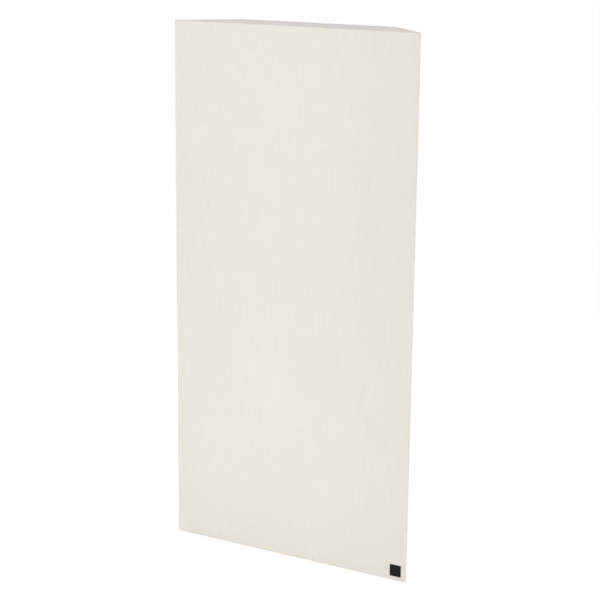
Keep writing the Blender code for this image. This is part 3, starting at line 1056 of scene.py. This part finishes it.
even = np.linspace(-1, 1, LABEL_CELLS + 1)
shares = 0.5 * np.sin(even * math.pi / 2) + 0.5 * even
u, v = np.meshgrid(shares * label_half, shares * label_half)
to_edge = label_half - np.maximum(np.abs(u), np.abs(v))
fall = np.clip(1.0 - to_edge / LABEL_ROUND, 0.0, 1.0)
drop = LABEL_ROUND * (1.0 - np.sqrt(1.0 - fall ** 2))
groove = LABEL_GROOVE * np.exp(-((to_edge - LABEL_GROOVE_INSET) / LABEL_GROOVE_WIDTH) ** 2)
pillow = LABEL_PILLOW * (1.0 - smooth_step((to_edge - LABEL_PILLOW_STARTS) / LABEL_PILLOW_RAMP))
front = np.stack([label_middle.x + u, label_low.y + drop + groove + pillow, label_middle.z + v], -1)
flat = np.stack([u, v], -1)
back = front.copy()
back[..., 1] = label_high.y
ribbon = Cloth()
ribbon.add_patch(front, flat)
ribbon.add_patch(back, flat, turned=True)
for side, turned in ((np.s_[0], False), (np.s_[-1], True), (np.s_[:, 0], True), (np.s_[:, -1], False)):
    ribbon.add_patch(np.stack([back[side], front[side]]), np.stack([flat[side], flat[side]]), turned)
label = ribbon.make_piece("woven_label", 1e-7)

# %% [markdown]
# Satin's long floats lie in fine slanting steps. It is nearly black, with a soft gloss.

# %% Finish: black satin
finish = Finish("label_satin", on_cloth=True)
across, along = finish.axes
floats = abs((across + along * 0.4).wave(0.00022) * 0.6 + along.wave(0.00016) * 0.4)
uneven = finish.grain((500, 2200))
light = floats * 0.5 + uneven * 0.5
label_satin = finish.surface({
    "Base Color": finish.mix(light, (0.0040, 0.0038, 0.0036), (0.0150, 0.0145, 0.0140)),
    "Roughness": 0.55 + uneven * 0.2,
    "Normal": finish.bump(floats + uneven * 0.3, 0.00003, 0.8),
    "Specular IOR Level": 0.14,
})
dress(label, label_satin, ["label"], sharp_angle=60.0)

# %% [markdown]
# The stitches are short humps of black polyester thread. One hump is a squashed sphere of a few dozen
# faces, set on evenly spaced points along the groove.

# %% Recipe: stitches
stitch = Recipe("stitches")
length, width, seed = stitch.ask(stitch_length=0.0019, thread_width=0.00040, seed=5)
hump = stitch.node("GeometryNodeMeshUVSphere", {}, {"Segments": 8, "Rings": 5, "Radius": 0.5})
turns = stitch.vector(0.0, stitch.random(-0.08, 0.08, seed) - stitch.read("turn"))
stitch.end(stitch.set_on_points(hump, turns, stitch.vector(length, width * 0.8, width)))

# %% Finish: sewing thread
finish = Finish("sewing_thread")
x, _, z = finish.axes
twist = abs((x + z).wave(0.0002))
fuzz = finish.grain((3000, 3000, 3000))
sewing_thread = finish.surface({
    "Base Color": finish.mix(twist * 0.5 + fuzz * 0.5, (0.010, 0.010, 0.010), (0.034, 0.034, 0.035)),
    "Roughness": 0.46 + fuzz * 0.2,
    "Normal": finish.bump(twist, 0.00003, 0.6),
    "Specular IOR Level": 0.2,
})

# %% Sew the label on
STITCH_PITCH = 0.0023
STITCH_SINK = 0.00010

half = label_half - LABEL_GROOVE_INSET
count = round(2 * half / STITCH_PITCH)
steps = (np.arange(count) + 0.5) / count * 2 * half - half
y = label_low.y + STITCH_SINK
lying = [(label_middle.x + step, y, label_middle.z + side * half) for side in (-1, 1) for step in steps]
upright = [(label_middle.x + side * half, y, label_middle.z + step) for side in (-1, 1) for step in steps]
turns = [0.0] * len(lying) + [math.pi / 2] * len(upright)
stitches = points_piece("label_stitches", lying + upright, turns)
stitch.run(stitches, sewing_thread)
dress(stitches, sewing_thread, sharp_angle=80.0)

# %% [markdown]
# ## Inside the cover
#
# Four slabs of mineral wool fill the frame, two layers in two bays. They are cut with a long knife, so
# their faces are flat but fibrous: small tufts and pits, and a layered grain along the cut edges. Each
# slab starts as a copy of its solid, is remeshed evenly and then worn inwards by a Geometry Nodes tree,
# so it never grows into its neighbours.

# %% Recipe: worn wool
worn_wool = Recipe("worn_wool")
wear, tuft, layer, seed = worn_wool.ask(wear_depth=0.0011, tuft_scale=95.0, layer_scale=420.0, pattern=3.0)
place = worn_wool.node("GeometryNodeInputPosition")
x, y, z = worn_wool.split(place)
stretched = worn_wool.vector(x * 60.0, y * layer, z * 60.0)
tufts, layers = [
    worn_wool.node("ShaderNodeTexNoise", {"noise_dimensions": "4D"},
                   {"Vector": point, "W": seed, "Scale": scale, "Detail": detail})
    for point, scale, detail in ((place, tuft, 3.0), (stretched, 1.0, 2.0))]
worn_wool.end(worn_wool.push_inwards((tufts * 0.6 + layers * 0.4) * wear))

# %% [markdown]
# The wool is bound rock fibre: olive brown and layered, with paler strands and darker binder.

# %% Finish: mineral wool
finish = Finish("rock_wool")
lying = finish.grain((240, 1900, 260), 4, 0.7)
strands = finish.grain((1500, 2400, 420), 3, 0.7)
crossing = finish.grain((420, 2400, 1500), 3, 0.7)
streaks = finish.grain((24, 900, 190), 4, 0.65)
tufts = finish.grain((120, 300, 90))
patches = finish.grain((16, 60, 30))
fibre = strands.math("MAXIMUM", crossing)
light = fibre * 0.75 + lying * 0.35 + (patches - 0.5) * 0.16 - 0.12
light = light + (streaks - 0.5) * 0.65 + (tufts - 0.5) * 0.35
rock_wool = finish.surface({
    "Base Color": finish.ramp(light, (0.25, (0.20, 0.155, 0.07)), (0.50, (0.42, 0.345, 0.175)),
                              (0.80, (0.62, 0.545, 0.33))),
    "Roughness": 0.9 + patches * 0.08,
    "Normal": finish.bump(fibre + lying * 0.6, 0.0006, 0.9),
    "Sheen Weight": 0.1,
})

# %% Cut the slabs
WOOL_VOXEL = 0.0045


def cut_slab(node, name):
    """A slab of wool from a copy of its solid, whose loose triangles are merged first."""
    shape = bmesh.new()
    shape.from_mesh(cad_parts[node].data)
    bmesh.ops.remove_doubles(shape, verts=shape.verts, dist=1e-6)
    mesh = bpy.data.meshes.new(name)
    shape.to_mesh(mesh)
    shape.free()
    slab = add_object(name, mesh)
    remesh = slab.modifiers.new("even", "REMESH")
    remesh.mode = "VOXEL"
    remesh.voxel_size = WOOL_VOXEL
    worn_wool.run(slab, rock_wool)
    dress(slab, rock_wool, [node], sharp_angle=180.0)


for bay in ("lower", "upper"):
    for layer in ("front", "rear"):
        cut_slab(f"core_{layer}_{bay}", f"wool_{layer}_{bay}")

# %% [markdown]
# The glass tissue is a veil of chopped glass strands in a clear binder, off-white and slightly cockled
# from its roll. It keeps the wool's fibres behind the cover. It is one thin sheet with a very shallow
# wave, cut a few millimetres short of the frame.

# %% Shape the glass tissue
TISSUE_WAVE = 0.00008
TISSUE_THICKNESS = 0.00022
TISSUE_POINTS = (61, 121)
tissue_low, tissue_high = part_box("front_scrim")

x, z = np.meshgrid(np.linspace(tissue_low.x, tissue_high.x, TISSUE_POINTS[0]),
                   np.linspace(tissue_low.z, tissue_high.z, TISSUE_POINTS[1]))
y = tissue_low.y + TISSUE_WAVE * (1.0 + slow_noise(x, z, 12.0, 6.0, 3.0))
tissue = Cloth()
tissue.add_patch(np.stack([x, y, z], -1), np.stack([x, z], -1))
veil = tissue.make_piece("glass_veil")
thicken(veil, TISSUE_THICKNESS)

# %% Finish: glass strands
finish = Finish("glass_strands", on_cloth=True)
across, along = finish.axes
first = finish.noise(across * 2600 + along * 300, along * 260, 1.0, 2.0, 0.6)
second = finish.noise(across * 280, along * 2600 - across * 500, 6.0, 2.0, 0.6)
third = finish.noise((across + along) * 1700, (across - along) * 200, 8.0, 2.0, 0.6)
strands = first.math("MAXIMUM", second).math("MAXIMUM", third)
glass_strands = finish.surface({
    "Base Color": finish.mix(strands * 1.6 - 0.5, (0.60, 0.59, 0.53), (0.86, 0.85, 0.80)),
    "Roughness": 0.85 - strands * 0.2,
    "Normal": finish.bump(strands, 0.00008, 0.8),
})
dress(veil, glass_strands, ["front_scrim"])

# %% [markdown]
# ## Timber and boards
#
# The plates, the uprights, the rib and the straps have the right shapes already, so they keep their
# solids. They only get finishes that are solid, like the wood itself: every cut shows what the place
# inside the block would show. Pine is rings round a pith that lies beside the upright, drifting as the
# tree grew, with a few knots where the rings part. The late wood at the end of each year is a thin dark
# line, and fine fibre runs over it all.

# %% Finish: pine
PITH = (0.205, 0.012)
RING_WIDTH = 0.0031
KNOT_SIZE = 0.11

finish = Finish("planed_pine")
x, y, z = finish.axes
drift = finish.noise(z * 1.1, 4.0, 0.0, 1.0) - 0.5
wobble = finish.grain((16, 16, 2.4)) - 0.5
knot_point = finish.vector(x * 11.0, y * 11.0, z * 5.0)
to_knot = finish.node("ShaderNodeTexVoronoi", {}, {"Vector": knot_point, "Scale": 1.0}, "Distance")
knot = (1.0 - to_knot / KNOT_SIZE).clamped()
bulge = (1.0 - to_knot / (KNOT_SIZE * 2.6)).math("MAXIMUM", 0.0) ** 2.0
from_pith_x = abs(x) - PITH[0] + drift * 0.03
from_pith_y = y - PITH[1] + drift * 0.02
radius = (from_pith_x * from_pith_x + from_pith_y * from_pith_y).math("SQRT")
good_years = finish.noise(radius * 60.0, 1.0, 0.0, 2.0, 0.6) - 0.5
year = (radius / RING_WIDTH + good_years * 2.2 + wobble * 3.0 + bulge * 5.0).math("FRACT")
late_wood = year ** 6.0 * (1.0 - (year - 0.95) * 14.0).math("MINIMUM", 1.0)
fibre = finish.grain((1300, 1300, 40), 4, 0.7)
stain = finish.grain((12, 12, 3))
light = 0.82 - year * 0.10 - late_wood * 0.58 + (fibre - 0.5) * 0.85
light = light + (stain - 0.5) * 0.22 - knot * 1.1
planed_pine = finish.surface({
    "Base Color": finish.ramp(light, (0.0, (0.16, 0.07, 0.03)), (0.32, (0.50, 0.29, 0.12)),
                              (0.62, (0.68, 0.47, 0.25)), (0.95, (0.78, 0.60, 0.36))),
    "Roughness": 0.62 + fibre * 0.2 - late_wood * 0.12,
    "Normal": finish.bump(fibre + late_wood * 0.5 - knot * 0.5, 0.0001, 0.6),
})

# %% [markdown]
# The rib and the straps are plywood, a stack of veneers whose grain turns at each layer, so its edges
# show pale and dark plies with thin glue lines. Counting plies through the thickness gives the layer at
# any point. The two outer faces lie inside the outer veneers, not on a glue line.

# %% Finish: plywood
FACE_SHARE = 0.2


def plywood(name, node, axis, plies):
    """The plywood of one node: veneers stacked along an axis, with alternate plies showing end grain."""
    finish = Finish(name)
    low, high = (corner[axis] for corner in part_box(node))
    x, y, z = finish.axes
    through = (finish.axes[axis] - low) * ((plies - 2 * FACE_SHARE) / (high - low)) + FACE_SHARE
    odd = through.math("FLOOR").math("MODULO", 2.0)
    joint = abs(through.math("FRACT") - 0.5) * 2.0
    glue = ((joint - 0.86) * 8.0).clamped()
    grain = finish.grain((16, 800, 800), 3, 0.6)
    pores = finish.grain((60, 2400, 2400))
    figure = (finish.grain((3, 9, 9)) * 26.0 + y * 90.0 + z * 90.0).math("SINE")
    light = 0.70 + (grain - 0.5) * 0.5 + figure * 0.09 + (pores - 0.5) * 0.3 - odd * 0.28 - glue * 0.45
    return finish.surface({
        "Base Color": finish.ramp(light, (0.05, (0.22, 0.13, 0.06)), (0.50, (0.56, 0.40, 0.23)),
                                  (0.95, (0.74, 0.58, 0.37))),
        "Roughness": 0.6 + grain * 0.2,
        "Normal": finish.bump(grain + pores * 0.4 - glue * 0.5, 0.00012, 0.6),
    })


rib_plywood = plywood("rib_plywood", "mid_rib", 2, 9)
strap_plywood = plywood("strap_plywood", "back_strap_lower", 1, 5)

# %% [markdown]
# The end plates are MDF, a felt of fine wood dust pressed flat. It has no grain, only a fine speckle,
# flecks that lie in the plane of the board and a slow change of tone.

# %% Finish: MDF
finish = Finish("raw_mdf")
felt = finish.grain((900, 900, 1800), 4, 0.7)
fleck = finish.grain((260, 420, 900), 3, 0.6)
cloud = finish.grain((30, 30, 90))
light = 0.5 + (felt - 0.5) * 1.1 + (fleck - 0.5) * 0.9 + (cloud - 0.5) * 0.4
raw_mdf = finish.surface({
    "Base Color": finish.mix(light, (0.26, 0.165, 0.085), (0.50, 0.36, 0.22)),
    "Roughness": 0.72 + felt * 0.15,
    "Normal": finish.bump(felt, 0.00008, 0.6),
})

# %% [markdown]
# ## Screws
#
# The screws of the frame are chipboard screws: a countersunk head with a cross recess, a neck, a thin
# core and a coarse thread that fades out at both ends. The body is a stack of cones joined into one
# skin, and two tapered blades cut the recess. One tree makes all three kinds, which differ in length.

# %% Recipe: the body of a screw
SCREW_SIDES = 24

screw = Recipe("screw")
long, head, land, core, crest, pitch, tip, seed = screw.ask(
    length=0.040, head_radius=0.0040, head_land=0.0004, core_radius=0.00135, thread_height=0.00060,
    thread_pitch=0.0020, point_length=0.0050, seed=7)
neck = land + head - core
rim = head * 0.96


def cone(low_z, high_z, low_radius, high_radius, sides=SCREW_SIDES, turned=0.0, caps="NONE"):
    """A cone or cylinder between two heights."""
    sizes = {"Vertices": sides, "Radius Top": high_radius, "Radius Bottom": low_radius,
             "Depth": high_z - low_z}
    shape = screw.node("GeometryNodeMeshCone", {"fill_type": caps}, sizes)
    place = {"Geometry": shape, "Translation": screw.vector(z=low_z), "Rotation": (0.0, 0.0, turned)}
    return screw.node("GeometryNodeTransform", {}, place)


disc = screw.node("GeometryNodeMeshCircle", {"fill_type": "NGON"}, {"Vertices": SCREW_SIDES, "Radius": rim})
skin = screw.node("GeometryNodeJoinGeometry", {}, {0: [
    disc,
    cone(land * -0.3, 0.0, head, rim),
    cone(-land, land * -0.3, head, head),
    cone(-neck, -land, core, head),
    cone(tip - long, -neck, core, core),
    cone(-long, tip - long, 0.0, core),
]})
body = screw.node("GeometryNodeMergeByDistance", {}, {"Geometry": skin, "Distance": 0.00001})
block = cone(head * -0.55, head * 0.1, head * 0.28, head * 0.80, 4, math.pi / 4, "NGON")
blades = [screw.node("GeometryNodeTransform", {}, {"Geometry": block, "Scale": scale})
          for scale in ((1.0, 0.24, 1.0), (0.24, 1.0, 0.95))]
body = screw.node("GeometryNodeMeshBoolean", {"operation": "DIFFERENCE"}, {0: body, 1: blades})
print("nodes so far:", len(screw.node_tree.nodes))

# %% [markdown]
# The thread is a diamond swept down a spiral, which narrows to the point and fades at both ends. Each
# loose point carries the turn of its screw, and a random spin about the screw's own axis leaves the
# recesses at odd angles, as a driver does.

# %% Recipe: the thread of a screw
THREAD_FADE = 12.0

run = long - neck - tip * 0.15
spiral = screw.node("GeometryNodeCurveSpiral", {}, {
    "Resolution": 12, "Rotations": run / pitch, "Start Radius": core, "End Radius": core, "Height": run})
x, y, z = screw.split(screw.node("GeometryNodeInputPosition"))
narrow = ((z + tip * 0.15) / tip).math("MINIMUM", 1.0)
lowered = screw.vector(x * narrow, y * narrow, z - run - neck)
spiral = screw.node("GeometryNodeSetPosition", {}, {"Geometry": spiral, "Position": lowered})
spiral = screw.node("GeometryNodeSetCurveNormal", {"mode": "Z_UP"}, {"Curve": spiral})
along = screw.node("GeometryNodeSplineParameter")
fade = (along * THREAD_FADE).math("MINIMUM", 1.0).math("MINIMUM", (1.0 - along) * THREAD_FADE)
sizes = {"Curve": spiral, "Radius": fade.math("MAXIMUM", 0.15)}
spiral = screw.node("GeometryNodeSetCurveRadius", {}, sizes)
sizes = {"Resolution": 4, "Radius": crest}
square = screw.node("GeometryNodeCurvePrimitiveCircle", {"mode": "RADIUS"}, sizes)
diamond = screw.node("GeometryNodeTransform", {}, {"Geometry": square, "Scale": (1.0, 0.6, 1.0)})
whole = screw.node("GeometryNodeJoinGeometry", {}, {0: [body, screw.sweep(spiral, diamond)]})
placed = screw.set_on_points(whole, screw.vector(screw.read("turn")))
spin = screw.vector(z=screw.random(0.0, math.pi, seed))
screw.end(screw.node("GeometryNodeRotateInstances", {}, {0: placed, "Rotation": spin}))

# %% [markdown]
# Yellow zinc is a thin bright plating with a chromate bloom that drifts between gold, straw and a faint
# pink. It is a metal, so its colour is its reflection, and fine grime dulls it in places.

# %% Finish: yellow zinc
finish = Finish("yellow_zinc")
bloom = finish.grain((420, 420, 420), 3, 0.6)
grime = finish.grain((1900, 1900, 1900), 2, 0.6)
yellow_zinc = finish.surface({
    "Base Color": finish.ramp(bloom, (0.30, (0.62, 0.50, 0.26)), (0.50, (0.74, 0.63, 0.36)),
                              (0.72, (0.70, 0.58, 0.44))),
    "Metallic": 1.0,
    "Roughness": 0.28 + grime * 0.25,
    "Normal": finish.bump(grime, 0.00002, 0.5),
})


# %% Drive the screws
def drive_screws(kind, axis, low_word):
    """All screws of one kind as one piece, each where its solid has its head."""
    nodes = [node for node in sorted(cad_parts) if node.startswith(kind)]
    places = []
    turns = []
    for node in nodes:
        low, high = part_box(node)
        head_is_low = low_word in node
        place = (low + high) / 2
        place[axis] = low[axis] if head_is_low else high[axis]
        places.append(place)
        # A screw is drawn head up. A turn about x lays it down, or stands it on its head.
        turns.append((math.pi / 2 if axis == 1 else math.pi) - (0.0 if head_is_low else math.pi))
    piece = points_piece(kind + "s", places, turns)
    screw.run(piece, yellow_zinc, length=max(high - low))
    dress(piece, yellow_zinc, nodes, sharp_angle=35.0)


drive_screws("plate_screw", 2, "_bottom_")
drive_screws("rib_screw", 1, "_front_")
drive_screws("strap_screw", 1, "_front_")

# %% Dress the solids that keep their shape
board_finishes = {"plate": raw_mdf, "strap": strap_plywood, "rib": rib_plywood}
for node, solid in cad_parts.items():
    if not solid.hide_render:
        found = [board_finishes[word] for word in board_finishes if word in node]
        solid.data.materials.clear()
        solid.data.materials.append(found[0] if found else planed_pine)
        print(node, "gets", solid.data.materials[0].name)
